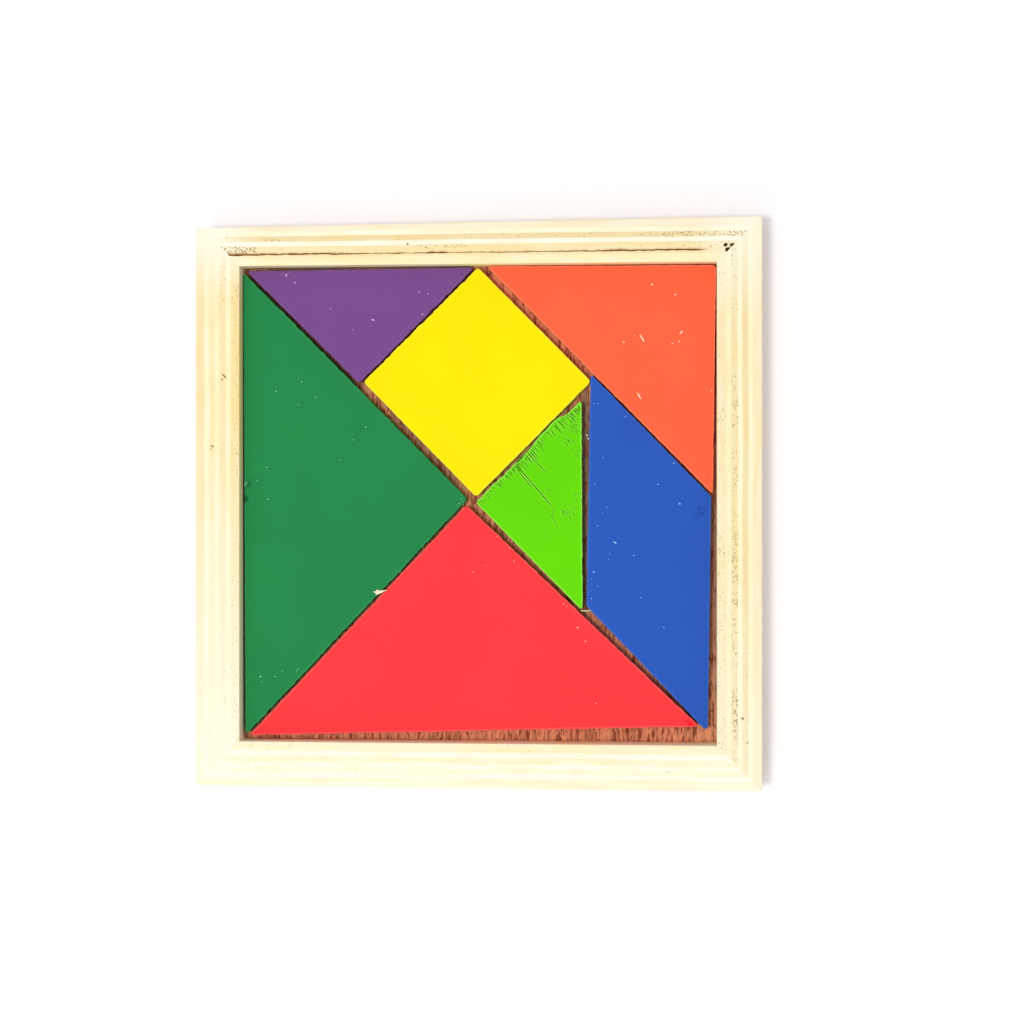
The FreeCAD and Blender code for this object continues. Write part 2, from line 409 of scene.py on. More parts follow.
                # the back face was sanded out of square, which thins the outermost ply
                missing = tray["sandedOff"] * leftShare - shift
                y = halfOuter - outermost - shift + (outermost - inward) * (1 - missing / outermost)
        if onTop:
            for along, markInward, length, width, turn, depth in look["marks"]:
                offset = Matrix.Rotation(math.radians(-turn), 2) @ Vector((x - along, markInward - inward))
                far = math.hypot(offset.x / length, offset.y / width)
                far *= 1 + 0.25 * wander(x + inward * 3, 0.4, 41)
                if far < 1:
                    z -= depth * (1 - far * far) ** 0.6
                    # a mark is coloured dark towards its middle: the knots' own colour, painted shade down in
                    # the holes, nearly black in the deep pits
                    deeper = 1 + smooth(depth, 0.4, 0.8)
                    vert[dark] = max(vert[dark], smooth(1 - far, 0.0, 0.5) * deeper)
        vert.co = (share * y, y, z)

    turned = Matrix.Rotation(math.radians(look["turn"]), 3, "Z")
    bmesh.ops.rotate(bm, cent=(0, 0, 0), matrix=turned, verts=bm.verts)
    if node == "frame_strip_left":
        # the sanded back face also takes the tip off this strip
        sliced = bmesh.ops.bisect_plane(bm, geom=allOf(bm), plane_co=(halfOuter, halfOuter, 0),
                                        plane_no=(-tray["sandedOff"], tray["outerSide"], 0),
                                        clear_outer=True)
        rim = [part for part in sliced["geom_cut"] if isinstance(part, bmesh.types.BMEdge)]
        bmesh.ops.holes_fill(bm, edges=rim)
    roundCorners(bm)
    wood = plywood("poplar plywood, " + node.split("_")[-1] + " strip", look)
    newPiece("dressed_" + node, finishMesh(bm, node), [wood], node)


def roundCorners(bm):
    # upright corners of the tray, where a square of the corner's radius is pulled in to a quarter circle
    radius = tray["cornerRadius"]
    for sideX in (-1, 1):
        for sideY in (-1, 1):
            reach = halfOuter - tray["sandedOff"] if (sideX, sideY) == (-1, 1) else halfOuter
            middle = Vector((sideX * (halfOuter - radius), sideY * (reach - radius)))
            for vert in bm.verts:
                offset = vert.co.xy - middle
                if offset.x * sideX > 0 and offset.y * sideY > 0:
                    pull = max(abs(offset.x), abs(offset.y)) / offset.length
                    vert.co.xy = middle + offset * pull


for node, look in strips.items():
    makeStrip(node, look)
print("strips done")


# Thin panel of lauan plywood, a red-brown wood with open pores: dark dashes a few millimetres long
# that all run from front to back. Its edge shows a paler core between two red-brown faces.
panel = {
    "edgeRadius": 0.3,
    "coreFrom": 0.9, "coreTo": 2.1,       # height of the core ply
    "lineWidth": 0.06, "lineDepth": 0.05, "sawMarks": 0.03,
    "faceColour": "#e4986e", "poreColour": "#8a4226", "coreColour": "#dcb88e", "gapShadeColour": "#7d6a58",
    # darker streaks in the upper face, painted shade under the narrow gaps between the tans: middle, half
    # width, half length, strength
    "gapShade": [(22, 1.5, 1.5, 30, 0.8), (49.5, -8, 3.0, 50, 0.35), (-36, 36, 18, 20, 0.85),
                  (-12, 10, 12, 16, 0.5)],
    "gapShadeDepth": 1.5,
}


def lauan(name):
    material, tree, shader = newMaterial(name)
    place = add(tree, "TexCoord").outputs["Object"]
    # pores of 0.45 by 3 mm on bands of 1 by 17 mm
    pores = woodGrain(tree, place, (2300, 330, 2300), 3.0, more={"Roughness": 0.6, "Distortion": 1.0})
    poreMask = add(tree, "MapRange", between(0.51, 0.6), {"Value": pores})
    bands = woodGrain(tree, place, (900, 60, 900), 2.0)
    face = add(tree, "ValToRGB", links={0: bands}, stops=[(0.32, linear(panel["faceColour"], 0.72)),
                                                          (0.62, linear(panel["faceColour"], 1.12))])
    depth = panel["gapShadeDepth"]
    # painted shade: darker streaks in the panel's face under the narrow gaps, where the tans keep the light
    # out
    layers = []
    for x, y, width, length, strength in panel["gapShade"]:
        streakPlace = add(tree, "Mapping", {"Location": (-x / width, -y / length, -tray["baseTop"] / depth),
                                            "Scale": (1000 / width, 1000 / length, 1000 / depth)},
                          {"Vector": place})
        streak = add(tree, "TexGradient", links={"Vector": streakPlace}, gradient_type="SPHERICAL")
        streakMask = add(tree, "MapRange", between(0.05, 0.35, 0, strength), {"Value": streak.outputs["Fac"]})
        layers.append((streakMask, linear(panel["gapShadeColour"])))
    face = layered(tree, face, layers + [(poreMask, linear(panel["poreColour"]))])
    # the core runs the other way, so the edge shows end grain there
    coreGrain = woodGrain(tree, place, (3000, 3000, 700), 3.0)
    coreTone = add(tree, "ValToRGB", links={0: coreGrain},
                   stops=[(0.3, linear(panel["coreColour"], 0.7)), (0.65, linear(panel["coreColour"], 1.05))])
    split = add(tree, "SeparateXYZ", links={0: place})
    heightShare = add(tree, "Math", {1: tray["baseTop"] * mm}, {0: split.outputs["Z"]}, operation="DIVIDE")
    low, high = panel["coreFrom"] / tray["baseTop"], panel["coreTo"] / tray["baseTop"]
    coreMask = add(tree, "ValToRGB", links={0: heightShare},
                   stops=[(low - 0.02, grey(0)), (low + 0.02, grey(1)),
                          (high - 0.02, grey(1)), (high + 0.02, grey(0))])
    wood = add(tree, "Mix", links={0: coreMask, colourA: face, colourB: coreTone},
               data_type="RGBA").outputs[colourOut]
    relief = add(tree, "Math", {1: -1.0}, {0: poreMask, 2: bands}, operation="MULTIPLY_ADD")
    finishShader(tree, shader, wood, relief, 0.6, 0.08, {"Roughness": 0.7, "Specular IOR Level": 0.25})
    return material


def makePanel():
    bm = bmesh.new()
    fill(bm, [(-halfOuter, -halfOuter), (halfOuter, -halfOuter), (halfOuter, halfOuter),
              (-halfOuter, halfOuter - tray["sandedOff"])], tray["baseTop"])
    bevel(bm, bm.verts[:], tray["cornerRadius"], 6, "VERTICES")
    longEdges = [edge for edge in bm.edges if edge.calc_length() > 5]
    bmesh.ops.subdivide_edges(bm, edges=longEdges, cuts=120)
    thicken(bm, -tray["baseTop"])
    bevel(bm, edgesWithin(bm, -near, near), panel["edgeRadius"])
    plyLevels = (panel["coreFrom"], panel["coreTo"])
    for level in plyLevels:
        for step in (-panel["lineWidth"], 0.0, panel["lineWidth"]):
            cut(bm, (0, 0, level + step), (0, 0, 1))
    for vert in bm.verts:
        # the plies' lines and a slightly rough saw cut round the edge
        groove = panel["lineDepth"] if any(abs(vert.co.z - level) < near for level in plyLevels) else 0.0
        rough = panel["sawMarks"] * (0.5 + 0.5 * noise.noise(vert.co * 0.7))
        if 0.35 < vert.co.z < 2.9:
            flat = vert.co.xy
            vert.co.xy = flat * (1 - (groove + rough) / flat.length)
    newPiece("dressed_base_panel", finishMesh(bm, "base_panel"), [lauan("lauan plywood, sanded")],
             "base_panel")


makePanel()
print("panel done")


# Enamel paint, sprayed on sanded plywood and left plain: even colour with a soft gloss, the grain
# just showing through, lighter over the rounded edges, partly thin paint and partly a painted highlight,
# bare wood where an edge has torn.
def enamel(name, look):
    material, tree, shader = newMaterial(name)
    place = add(tree, "TexCoord").outputs["Object"]
    inMm = add(tree, "Mapping", {"Scale": (1000, 1000, 1000)}, {"Vector": place})
    cloud = add(tree, "TexNoise", {"Scale": 0.045, "Detail": 2.0}, {"Vector": inMm})
    tone = add(tree, "ValToRGB", links={0: cloud},
               stops=[(0.35, linear(look["colour"], 0.97)), (0.65, linear(look["colour"], 1.03))])
    # wood grain under the paint, lines about 0.7 mm apart
    grain = woodGrain(tree, inMm, (0.2, 1.4, 1.4), 3.0, math.radians(look["grainTurn"]))
    grainTone = add(tree, "MapRange", between(0.3, 0.7, 0.994, 1.004), {"Value": grain})
    paint = add(tree, "VectorMath", links={0: tone, 1: grainTone}, operation="MULTIPLY")
    edge, gouge, chip, nib = [add(tree, "Attribute", attribute_name=drawn).outputs["Fac"]
                              for drawn in ("edge", "gouge", "chip", "nib")]
    low = add(tree, "MapRange", between(0, -1), {"Value": gouge})
    high = add(tree, "MapRange", between(0, 1), {"Value": gouge})
    # chips are broken up into grains of 0.3 mm
    crumbs = add(tree, "TexNoise", {"Scale": 3.0, "Detail": 1.0}, {"Vector": inMm})
    broken = add(tree, "Math", links={0: chip, 1: crumbs}, operation="MULTIPLY")
    chipMask = add(tree, "MapRange", between(0.5, 0.56), {"Value": broken})
    layers = [
        # rounded edges lighter: partly thin paint, partly a painted highlight
        (edge, linear(look["edgeColour"])),
        # grooves of the torn grain darker as painted shade, ridges lighter as painted highlight
        (low, linear(look["colour"], 0.36)),           # torn grain: grooves dark, ridges light
        (high, linear(look["edgeColour"])),
        (chipMask, linear(look["chipColour"])),
        # dust specks, made pale partly as a painted highlight on them
        (nib, linear(look["nibColour"])),              # dust that dried into the paint
    ]
    for x, y, radius, streaks, strength, colour in look.get("stains", []):
        away = add(tree, "VectorMath", {1: (x, y, tanShape["top"])}, {0: inMm}, operation="DISTANCE")
        streaked = add(tree, "TexNoise", {"Scale": streaks, "Detail": 2.0}, {"Vector": inMm})
        reach = add(tree, "MapRange", between(radius, radius * 0.4), {"Value": away.outputs["Value"]})
        streakMask = add(tree, "MapRange", between(0.4, 0.6, 0, strength), {"Value": streaked})
        both = add(tree, "Math", links={0: reach, 1: streakMask}, operation="MULTIPLY")
        layers.append((both, linear(colour)))
    paint = layered(tree, paint, layers)
    roughness = add(tree, "MapRange", between(0.3, 0.7, 0.52, 0.56), {"Value": cloud})
    tree.links.new(roughness.outputs[0], shader.inputs["Roughness"])
    # orange peel, waves about 1 mm across
    peel = add(tree, "TexNoise", {"Scale": 0.9, "Detail": 1.0}, {"Vector": inMm})
    relief = add(tree, "Math", {1: 0.12}, {0: grain, 2: peel}, operation="MULTIPLY_ADD")
    finishShader(tree, shader, paint, relief, 0.1, 0.03, {"Specular IOR Level": 0.05})
    return material


# Unpainted poplar. The undersides that the spray never reached are tan and evenly streaked, and torn
# fibres are cream where they broke. The torn skin of paint is streaked by the fibres it came off.
def bareWood(name, look):
    material, tree, shader = newMaterial(name)
    place = add(tree, "TexCoord").outputs["Object"]
    grain = woodGrain(tree, place, look["fibres"], look["detail"], look["turn"])
    tone = add(tree, "ValToRGB", links={0: grain},
               stops=[(position, linear(colour)) for position, colour in look["tones"]])
    finishShader(tree, shader, tone.outputs[0], grain, look["relief"], look["reliefDepth"], look["fixed"])
    return material


sandedUnderside = {
    "fibres": (2600, 70, 2600), "turn": 0.0, "detail": 3.0,        # 0.4 mm by 14 mm
    "tones": [(0.3, "#d8bd8a"), (0.65, "#f3e2b8")],
    "relief": 0.4, "reliefDepth": 0.05, "fixed": {"Roughness": 0.65, "Specular IOR Level": 0.3},
}
tornFibres = {
    "fibres": (1200, 7000, 7000), "turn": 0.1, "detail": 2.0,      # 0.8 mm by 0.14 mm
    "tones": [(0.3, "#ead9ae"), (0.6, "#fdf6dc")],
    "relief": 0.5, "reliefDepth": 0.04, "fixed": {"Roughness": 0.7},
}
tornPaint = dict(tornFibres, tones=[(0.3, "#9fae5c"), (0.6, "#cdd896")])


# Corners run counterclockwise in millimetres. "torn" is how far saw and sander tore into the top of
# each side and "chips" how much bare wood shows along it; side 0 runs from the first corner to the
# second. A nib is a speck of dust in the paint, coloured pale partly as a painted highlight: x, y, length
# and turn in degrees. A stain is x, y, radius, how many streaks to a millimetre, strength and colour.
tanShape = {
    "top": 6.0, "squareRadius": 0.8, "tipRadius": 0.4, "edgeRadius": 0.18, "footChamfer": 0.15,
    "narrow": 67,                                   # corners below this many degrees are tips
    "sideStep": 0.3, "levels": (4.0, 5.0, 5.5),     # faces along the sides and up them
    "border": 0.45, "gridAcross": 0.075, "gridAlong": 0.3,
    "tears": (3.8, 5.5),                            # heights where tears set in and are at their full
    "fullGouge": 0.06, "nibWidth": 0.16, "nibRise": 0.06,
}
tans = {
    "large_triangle_green": {
        "slot": "green_paint", "seed": 11, "grainTurn": 8,
        "corners": [(-48.02, -47.75), (-2.05, 0.91), (-48.55, 47.77)],
        "torn": [0.2, 0.16, 0.1], "chips": [0.5, 0.6, 0.5],
        "colour": "#228749", "edgeColour": "#3f9a5c", "chipColour": "#9bbf8c", "nibColour": "#a8f0c8",
        # the two stains at the left edge are painted shade beside a chip and in a notch, and the long nibs
        # near (-48, 4) are the chip's painted highlight
        "stains": [(-47.5, 4.2, 1.4, 1.3, 0.85, "#0f5a28"), (-48.4, 1.0, 1.3, 1.1, 0.9, "#0f4a22")],
        "nibs": [(-36.3, 25.1, 0.3, 20), (-33.4, 21.9, 0.26, 80), (-23.0, 15.7, 0.3, 140),
                 (-41.6, 23.2, 0.3, 60), (-36.9, 20.3, 0.24, 0), (-28.3, 9.0, 0.24, 0),
                 (-25.6, 13.1, 0.22, 40), (-48.1, 4.2, 1.1, 85), (-47.7, 4.4, 0.5, 60),
                 (-44.9, -35.6, 0.34, 30), (-41.8, -35.6, 0.26, 60), (-40.4, -34.4, 0.24, 0),
                 (-37.4, -34.4, 0.24, 60), (-37.0, -34.0, 0.24, 60), (-44.7, -36.7, 0.2, 0),
                 (-43.5, 7.5, 0.26, 0), (-45.6, 4.7, 0.24, 0), (-43.3, 0.9, 0.28, 0),
                 (-3.7, 0.1, 0.22, 0), (-3.3, 1.0, 0.22, 0), (-3.0, 0.4, 0.18, 0),
                 (-4.1, -0.4, 0.18, 0), (-2.9, -0.2, 0.18, 0)],
    },
    "large_triangle_red": {
        "slot": "red_paint", "seed": 12, "grainTurn": 3,
        "corners": [(45.28, -45.16), (-2.29, -0.24), (-47.29, -47.77)],
        "torn": [0.14, 0.2, 0.2], "chips": [0.2, 0.5, 0.3],
        "colour": "#fc3c40", "edgeColour": "#fd6a66", "chipColour": "#f6a396", "nibColour": "#ffc0b8",
        "stains": [(43.3, -44.6, 1.3, 0.9, 1.0, "#f40014")],
        "nibs": [(7.5, -11.7, 0.28, 30), (20.5, -25.2, 0.45, 0), (24.3, -40.6, 0.26, 0),
                 (22.1, -28.0, 0.34, 10), (-0.9, -13.9, 0.26, 0), (1.7, -12.7, 0.2, 0), (6.6, -9.2, 0.22, 0),
                 (4.0, -6.7, 0.2, 0), (17.7, -20.4, 0.26, 0), (18.3, -20.9, 0.24, 0)],
    },
    "medium_triangle_orange": {
        "slot": "orange_paint", "seed": 13, "grainTurn": -5,
        "corners": [(47.92, 1.78), (48.55, 48.35), (1.87, 48.51)],
        "torn": [0.1, 0.1, 0.12], "chips": [0.0, 0.1, 0.2],
        "colour": "#fd6743", "edgeColour": "#ff8a66", "chipColour": "#f3b695", "nibColour": "#ffdcbc",
        "nibs": [(33.6, 33.6, 1.8, -58), (33.0, 21.9, 1.5, -60), (41.5, 34.7, 1.0, 49),
                 (29.9, 32.8, 0.4, 50), (39.7, 32.5, 0.35, 30), (41.1, 32.9, 0.35, 30),
                 (32.0, 34.1, 0.25, 0), (47.6, 22.9, 0.28, 0), (35.6, 44.5, 0.45, 0), (40.3, 42.4, 0.4, 80)],
    },
    "small_triangle_purple": {
        "slot": "purple_paint", "seed": 14, "grainTurn": 4,
        "corners": [(-0.64, 48.27), (-47.83, 47.97), (-24.42, 24.74)],
        "torn": [0.08, 0.14, 0.22], "chips": [0.1, 0.6, 0.5],
        "colour": "#7b4c8f", "edgeColour": "#845a94", "chipColour": "#b99ab4", "nibColour": "#e2c4ec",
        "nibs": [(-21.5, 37.7, 0.62, -20), (-39.5, 47.1, 0.45, 40), (-37.7, 45.5, 0.36, 0),
                 (-30.3, 40.0, 0.26, 0), (-25.6, 35.7, 0.24, 30), (-11.9, 43.3, 0.28, 60),
                 (-10.1, 42.9, 0.28, 0), (-11.3, 38.8, 0.34, 0), (-40.0, 47.5, 0.2, 0),
                 (-39.5, 46.7, 0.2, 0), (-40.6, 47.2, 0.16, 0), (-38.8, 47.6, 0.16, 0)],
    },
    "small_triangle_lime": {
        "slot": "lime_paint", "seed": 15, "grainTurn": -53,
        "corners": [(21.28, 22.21), (-0.4, 0.24), (21.49, -21.82)],
        "torn": [0.22, 0.1, 0.12], "chips": [0.5, 0.1, 0.5],
        # the saw tore the first side: how much is missing along it, from its upper tip
        "missing": [(5.6, 0.0), (7.4, -0.16), (9.0, -0.2), (10.4, -0.08), (11.8, -0.18), (14.2, 0.02),
                    (15.4, 0.24), (17.2, 0.38), (18.7, 0.48), (19.3, 0.16), (21.6, 0.06), (23.4, 0.24),
                    (24.3, 0.0), (28.4, 0.02), (29.3, 0.12), (29.8, 0.0)],
        "tipWornBack": 1.03, "edgeWearAndHighlight": 1.0,
        # long scratches: start, turn in degrees, length, width and depth
        "scratches": [(7.6, 8.3, -49, 12.6, 0.12, 0.15), (7.4, 7.9, -51, 6.4, 0.11, 0.1),
                      (10.7, 9.8, -45, 5.3, 0.11, 0.09), (15.6, -1.1, -105, 1.3, 0.1, 0.09),
                      (15.2, -2.4, -65, 2.8, 0.1, 0.07)],
        # shares of the side between which strokes start, how many, shortest, longest, deepest
        "strokes": [(0.02, 0.2, 26, 0.4, 1.4, 0.08), (0.18, 0.37, 44, 0.6, 2.0, 0.1),
                    (0.36, 0.5, 26, 1.2, 3.6, 0.12), (0.5, 0.59, 12, 0.8, 4.6, 0.1),
                    (0.59, 0.74, 26, 0.6, 2.2, 0.08), (0.73, 0.88, 24, 1.4, 3.8, 0.11),
                    (0.85, 0.97, 30, 0.6, 2.6, 0.12)],
        # middle of a rough patch, its spread, how many strokes, the longest
        "patches": [(17.9, -1.9, 0.8, 22, 1.4), (18.7, 12.9, 0.6, 30, 0.7), (20.0, 15.8, 0.6, 30, 0.9),
                    (19.6, 17.6, 0.6, 16, 1.2), (14.3, 3.0, 0.4, 6, 0.7), (20.4, 2.0, 0.7, 12, 0.6),
                    (0.9, 0.9, 0.6, 18, 0.8), (13.6, -6.4, 0.6, 9, 0.5), (20.6, 10.5, 0.5, 12, 0.6)],
        "colour": "#66dc00", "edgeColour": "#a6f458", "chipColour": "#c0e482", "nibColour": "#a8f060",
    },
    "square_yellow": {
        "slot": "yellow_paint", "seed": 16, "grainTurn": 2,
        "corners": [(-0.25, 1.32), (23.26, 24.88), (0.12, 48.33), (-23.53, 25.0)],
        "torn": [0.12, 0.06, 0.24, 0.08], "chips": [0.0, 0.0, 0.2, 0.0],
        "colour": "#ffea00", "edgeColour": "#fff04a", "chipColour": "#fff2a0", "nibColour": "#fff6a0",
    },
    "parallelogram_blue": {
        "slot": "blue_paint", "seed": 17, "grainTurn": 87,
        "corners": [(46.91, -46.4), (47.58, 1.48), (23.13, 26.46), (22.28, -20.81)],
        "tips": {0: 0.65},
        "torn": [0.1, 0.12, 0.14, 0.12], "chips": [0.1, 0.2, 0.3, 0.4],
        "colour": "#2a5abb", "edgeColour": "#4a6cc6", "chipColour": "#8b93c4", "nibColour": "#94c2ff",
        "stains": [(45.3, -1.6, 1.5, 1.6, 0.8, "#1d3f92")],
        "nibs": [(28.1, -7.9, 0.8, -35), (40.0, 8.2, 0.36, 0), (36.8, 3.9, 0.3, 0),
                 (25.6, 9.4, 0.26, 20), (24.6, 20.4, 0.26, 0), (30.2, 17.7, 0.3, 70),
                 (41.2, 0.0, 0.55, -20), (23.8, -13.9, 0.4, 0), (38.0, -25.1, 0.3, 0),
                 (31.9, -10.5, 0.3, 0), (33.3, -19.1, 0.26, 0), (24.0, 4.0, 0.26, 0),
                 (23.2, -15.3, 0.22, 0), (23.3, -19.3, 0.3, 0), (24.6, -16.8, 0.24, 0),
                 (27.0, -10.1, 0.24, 0), (26.8, -11.3, 0.2, 0), (26.5, -0.8, 0.22, 0),
                 (25.6, -1.9, 0.22, 0), (24.6, -4.5, 0.28, 0), (23.4, -16.3, 0.18, 0),
                 (23.3, -17.6, 0.18, 0), (23.8, 20.3, 0.26, 0)],
    },
}


def tearAt(along, length, amount, seed):
    # bites and lips of mixed size along an edge, none at its ends
    bites = ((0.6, 1.3), (0.5, 0.6), (0.4, 4.5))           # how deep and how long
    bite = sum(depth * wander(along, size, seed + number) for number, (depth, size) in enumerate(bites))
    return amount * bite * smooth(min(along, length - along), 1.0, 2.6)


def missingAt(along, steps):
    # straight between the steps, nothing missing before the first and after the last
    for (start, startDepth), (end, endDepth) in zip(steps, steps[1:]):
        if start <= along < end:
            return startDepth + (endDepth - startDepth) * (along - start) / (end - start)
    return 0.0


def nearestSide(point, corners):
    best = None
    for number, start in enumerate(corners):
        run = corners[(number + 1) % len(corners)] - start
        inward = Vector((-run.y, run.x)).normalized()
        distance = (point - start).dot(inward)
        if best is None or distance < best[1]:
            best = (number, distance, (point - start).dot(run.normalized()), run.length, inward)
    return best


def gougeAt(point, strokes):
    # sum of the strokes at a point: each is a groove with raised lips that runs out at both ends
    total = 0.0
    for start, run, length, width, depth, hold in strokes:
        offset = point - start
        along = offset.dot(run)
        if -0.2 < along < length:
            side = abs(offset.x * run.y - offset.y * run.x) / width
            if side < 2.5:
                fade = smooth(along, -0.2, 0.3) * (1 - smooth(along, length * hold, length))
                lip = 0.55 * math.exp(-(side - 1.5) ** 2 * 3)
                total += depth * fade * (lip - math.exp(-side * side * 1.6))
    return total


def turnedRun(degrees):
    return Vector((math.cos(math.radians(degrees)), math.sin(math.radians(degrees))))


def tornGrain(look):
    # Strokes that start on the torn side and run with the grain, then loose patches of them further in.
    # A stroke is its start, direction, length, width, depth and the share of its length at full depth.
    chance = random.Random(look["seed"])
    start, end = Vector(look["corners"][1]), Vector(look["corners"][0])
    strokes = [(Vector((x, y)), turnedRun(turn), length, width, depth, 0.75)
               for x, y, turn, length, width, depth in look["scratches"]]
    for low, high, count, shortest, longest, deepest in look["strokes"]:
        for number in range(count):
            begin = start.lerp(end, chance.uniform(low, high))
            begin = begin + turnedRun(look["grainTurn"]) * chance.uniform(-0.1, 0.7)
            length = shortest + (longest - shortest) * chance.random() ** 2
            run = turnedRun(look["grainTurn"] + chance.gauss(0, 3))
            width = chance.uniform(0.1, 0.16)
            strokes.append((begin, run, length, width, deepest * chance.uniform(0.4, 1), 0.35))
    for x, y, spread, count, longest in look["patches"]:
        for number in range(count):
            begin = Vector((x + chance.gauss(0, spread), y + chance.gauss(0, spread)))
            run = turnedRun(look["grainTurn"] + chance.gauss(0, 20))
            length = chance.uniform(0.3, longest)
            width = chance.uniform(0.08, 0.13)
            strokes.append((begin, run, length, width, chance.uniform(0.04, 0.1), 0.35))
    return strokes


def makeTan(node, look):
    corners = [Vector(corner) for corner in look["corners"]]
    following = corners[1:] + corners[:1]
    bm = bmesh.new()
    fill(bm, corners, tray["baseTop"])
    for number, vert in enumerate(bm.verts[:]):
        angle = (corners[number - 1] - corners[number]).angle(following[number] - corners[number])
        isTip = angle < math.radians(tanShape["narrow"])
        radius = tanShape["tipRadius" if isTip else "squareRadius"]
        radius = look.get("tips", {}).get(number, radius)
        bevel(bm, [vert], radius / math.tan(angle / 2), 6, "VERTICES")
    for edge in [edge for edge in bm.edges if edge.calc_length() > 2]:
        bmesh.ops.subdivide_edges(bm, edges=[edge], cuts=int(edge.calc_length() / tanShape["sideStep"]))
    thicken(bm, tanShape["top"] - tray["baseTop"])
    topLevel = tanShape["top"] - near
    rim = edgesWithin(bm, topLevel, math.inf)
    foot = edgesWithin(bm, -math.inf, tray["baseTop"] + near)
    bevel(bm, rim, tanShape["edgeRadius"])
    bevel(bm, foot, tanShape["footChamfer"], 1)
    for level in tanShape["levels"]:
        cut(bm, (0, 0, level), (0, 0, 1))

    top = max(bm.faces, key=lambda face: face.calc_area() * (face.calc_center_median().z > topLevel))
    sheet = [top] + list(top.edges) + list(top.verts)
    strokes = tornGrain(look) if "strokes" in look else []
    planes = []
    if strokes:
        # a fine grid over the top, in line with the torn grain
        run = turnedRun(look["grainTurn"]).to_3d()
        across = Vector((-run.y, run.x, 0))
        for direction, step in ((across, tanShape["gridAcross"]), (run, tanShape["gridAlong"])):
            reach = [corner.to_3d().dot(direction) for corner in corners]
            for count in range(1, int((max(reach) - min(reach)) / step)):
                planes.append((direction * (min(reach) + count * step), direction))
    else:
        # a border round the top, so that what is drawn on the edge stays there
        for corner, nextCorner in zip(corners, following):
            run = (nextCorner - corner).normalized()
            inward = Vector((-run.y, run.x, 0))
            planes.append((corner.to_3d() + inward * tanShape["border"], inward))
    for at, across in planes:
        sheet = list(set(cut(bm, at, across, sheet)["geom"]))

    edge, chip, nib, gouge = [bm.verts.layers.float.new(drawn) for drawn in ("edge", "chip", "nib", "gouge")]
    for vert in bm.verts:
        number, distance, along, length, inward = nearestSide(vert.co.xy, corners)
        z = vert.co.z
        seed = look["seed"] * 10 + number
        tear = tearAt(along, length, look["torn"][number], seed)
        if number == 0 and "missing" in look:
            tear += missingAt(along, look["missing"])
        fade = 1 - smooth(distance, 0.35, 2.6)
        vert.co.xy += inward * tear * smooth(z, *tanShape["tears"]) * fade
        if z > tanShape["tears"][1]:
            torn = smooth(wander(along, 0.7, seed + 7), 0.1, 0.5) * (1 - smooth(distance, 0.14, 0.3))
            # rounded edges lighter, partly thin paint and partly a painted highlight
            vert[edge] = look.get("edgeWearAndHighlight", 0.75) * smooth(0.3 - distance, 0.0, 0.22)
            vert[chip] = look["chips"][number] * torn
            vert.co.z -= 0.25 * max(0, tear) * (1 - smooth(distance, 0.0, 0.17))
        if strokes and z > topLevel and distance > 0.2:
            relief = gougeAt(vert.co.xy, strokes)
            vert.co.z += relief * smooth(distance, 0.2, 0.5)
            # the relief also colours the top: painted shade in the grooves, painted highlight on the ridges
            vert[gouge] = max(-1.0, min(1.0, relief / tanShape["fullGouge"]))
        if "tipWornBack" in look:
            # the upper tip has broken off
            tip, below = corners[0], (corners[-1] - corners[0]).normalized()
            worn = 1 - smooth((vert.co.xy - tip).dot(below), 2.6, 5.0)
            vert.co.xy += below * look["tipWornBack"] * worn
    for x, y, length, turn in look.get("nibs", []):
        place = Matrix.Translation((x, y, tanShape["top"])) @ Matrix.Rotation(math.radians(turn), 4, "Z")
        width = min(tanShape["nibWidth"], length / 2.6)
        place = place @ Matrix.Diagonal((length / 2, width, tanShape["nibRise"], 1))
        speck = bmesh.ops.create_icosphere(bm, subdivisions=2, radius=1, matrix=place)
        for vert in speck["verts"]:
            vert[nib] = 1.0
    for face in bm.faces:
        if face.calc_center_median().z < tray["baseTop"] + near:
            face.material_index = 1
    paint = enamel("enamel paint, " + node.split("_")[-1], look)
    newPiece("dressed_" + node, finishMesh(bm, node), [paint, underside], node)


underside = bareWood("bare poplar, sanded", sandedUnderside)
for node, look in tans.items():
    makeTan(node, look)
print("tans done")


# Splinter that the saw left across the cut between green and red, two crumbs of wood in the gap
# beside blue, and a skin of lime paint that reaches over to blue below them.
scraps = {
    "splinter": {
        "outline": [(-21.47, -18.07), (-20.84, -17.88), (-20.58, -17.45), (-20.37, -17.81),
                    (-19.58, -17.76), (-18.43, -17.68), (-19.28, -18.04), (-19.98, -18.41),
                    (-20.49, -18.56), (-20.81, -18.76), (-20.89, -18.38)],
        "low": 5.8, "high": 6.35, "slot": "plywood",
    },
    "crumb_a": {
        "outline": [(22.15, 14.25), (22.05, 13.95), (22.3, 13.8), (22.55, 13.95), (22.45, 14.2)],
        "low": 3.0, "high": 3.5, "slot": "plywood",
    },
    "crumb_b": {
        "outline": [(22.4, 13.6), (22.35, 13.3), (22.6, 13.05), (22.75, 13.3), (22.6, 13.6)],
        "low": 3.0, "high": 3.4, "slot": "plywood",
    },
    "paint_skin": {
        "outline": [(21.12, -21.65), (22.23, -21.67), (23.33, -21.63), (23.39, -21.84),
                    (22.33, -21.94), (21.17, -21.90)],
        "low": 5.75, "high": 5.9, "slot": "lime_paint",
    },
}


def makeScrap(name, look, material):
    bm = bmesh.new()
    fill(bm, look["outline"], look["low"])
    thicken(bm, look["high"] - look["low"])
    bevel(bm, bm.edges[:], 0.04, 1)
    for vert in bm.verts:
        vert.co.z += 0.06 * noise.noise(vert.co * 1.7)
    newPiece(name, finishMesh(bm, name, 60), [material])


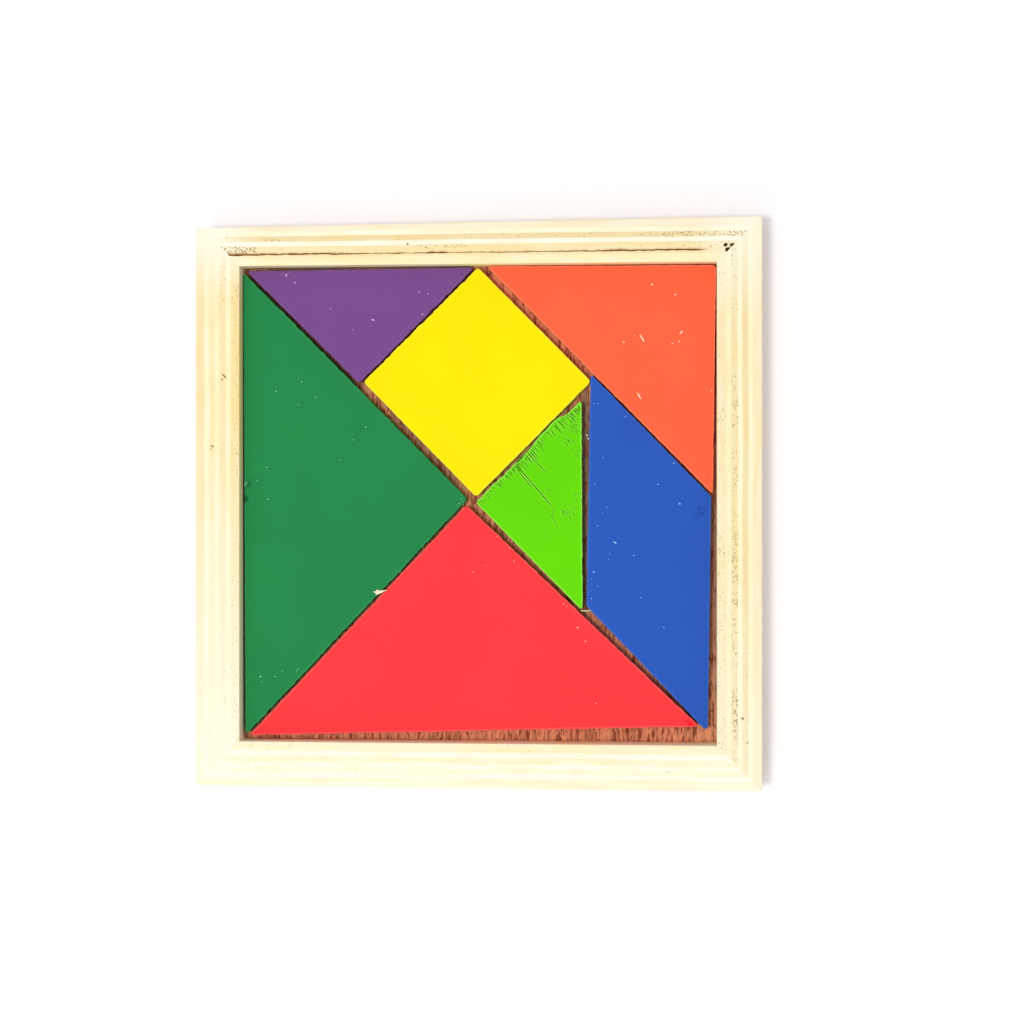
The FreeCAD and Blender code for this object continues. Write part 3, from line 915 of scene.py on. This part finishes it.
tornWood = bareWood("torn poplar", tornFibres)
for name, look in scraps.items():
    makeScrap(name, look, bareWood("torn paint skin", tornPaint) if name == "paint_skin" else tornWood)
print("scraps done")


# Floor and light
room = {
    "worldLevel": 0.62, "lampDistance": 0.9,
    # power, size, azimuth and elevation of the key and of the broad fill, both from the front left
    "lamps": {"key": (2.85, 0.16, 203, 78), "fill": (0.85, 0.5, 250, 46)},
    "floorTone": "#f2f1f3", "floorGlow": 0.15, "farGlow": 0.5,
}


def paperFloor():
    # white paper: the camera sees it as white, and it keeps the soft shadow
    material, tree, shader = newMaterial("white paper")
    tree.nodes.remove(shader)
    place = add(tree, "TexCoord").outputs["Object"]
    fibres = add(tree, "TexNoise", {"Scale": 900.0, "Detail": 3.0}, {"Vector": place})
    tone = add(tree, "ValToRGB", links={0: fibres},
               stops=[(0.3, linear(room["floorTone"], 0.98)), (0.7, linear(room["floorTone"], 1.02))])
    matt = add(tree, "BsdfDiffuse", links={"Color": tone})
    ray = add(tree, "LightPath")
    # the lamps fall off further away, where the glow takes over
    away = add(tree, "VectorMath", links={0: place}, operation="LENGTH")
    glowHere = add(tree, "MapRange", between(0.15, 0.9, room["floorGlow"], room["farGlow"]),
                   {"Value": away.outputs["Value"]})
    seen = add(tree, "Math", links={0: ray.outputs["Is Camera Ray"], 1: glowHere}, operation="MULTIPLY")
    glow = add(tree, "Emission", links={"Strength": seen})
    both = add(tree, "AddShader", links={0: matt, 1: glow})
    output = next(found for found in tree.nodes if found.type == "OUTPUT_MATERIAL")
    tree.links.new(both.outputs[0], output.inputs["Surface"])
    return material


bm = bmesh.new()
bmesh.ops.create_grid(bm, x_segments=1, y_segments=1, size=3)
floorMesh = bpy.data.meshes.new("floor")
bm.to_mesh(floorMesh)
bm.free()
floor = bpy.data.objects.new("floor", floorMesh)
scene.collection.objects.link(floor)
floor.data.materials.append(paperFloor())

world = bpy.data.worlds.new("studio")
scene.world = world
world.use_nodes = True
tree = world.node_tree
tree.nodes.clear()
ray = add(tree, "LightPath")
clear = ray.outputs["Is Camera Ray"]
for kind in ("Is Glossy Ray", "Is Transmission Ray"):
    clear = add(tree, "Math", links={0: clear, 1: ray.outputs[kind]}, operation="MAXIMUM")
soft = add(tree, "Background", {"Color": linear("#ffffff"), "Strength": room["worldLevel"]})
white = add(tree, "Background", {"Color": linear("#ffffff"), "Strength": 1.0})
both = add(tree, "MixShader", links={0: clear, 1: soft, 2: white})
add(tree, "OutputWorld", links={"Surface": both})

for name, (power, size, azimuth, elevation) in room["lamps"].items():
    light = bpy.data.lights.new(name, "AREA")
    light.shape = "DISK"
    light.size = size
    light.energy = power
    lamp = bpy.data.objects.new(name, light)
    rise = math.radians(elevation)
    toLamp = (turnedRun(azimuth) * math.cos(rise)).to_3d() + Vector((0, 0, math.sin(rise)))
    lamp.location = toLamp * room["lampDistance"]
    lamp.rotation_euler = toLamp.to_track_quat("Z", "Y").to_euler()
    scene.collection.objects.link(lamp)

# Camera: 400 mm from the rim, leaned 4.45 degrees to the right, long lens
view = {"lens": 69.44, "distance": 400.0, "lean": 4.45, "aim": (7.34, -0.17, 9.0)}
camera = bpy.data.cameras.new("camera")
camera.lens = view["lens"]
camera.sensor_width = 36.0
camera.clip_start = 0.01
cameraObject = bpy.data.objects.new("camera", camera)
lean = math.radians(view["lean"])
away = Vector((math.sin(lean), 0, math.cos(lean))) * view["distance"]
cameraObject.location = (Vector(view["aim"]) + away) * mm
cameraObject.rotation_euler = (0, lean, 0)
scene.collection.objects.link(cameraObject)
scene.camera = cameraObject
scene.view_settings.view_transform = "Standard"

print("scene done")
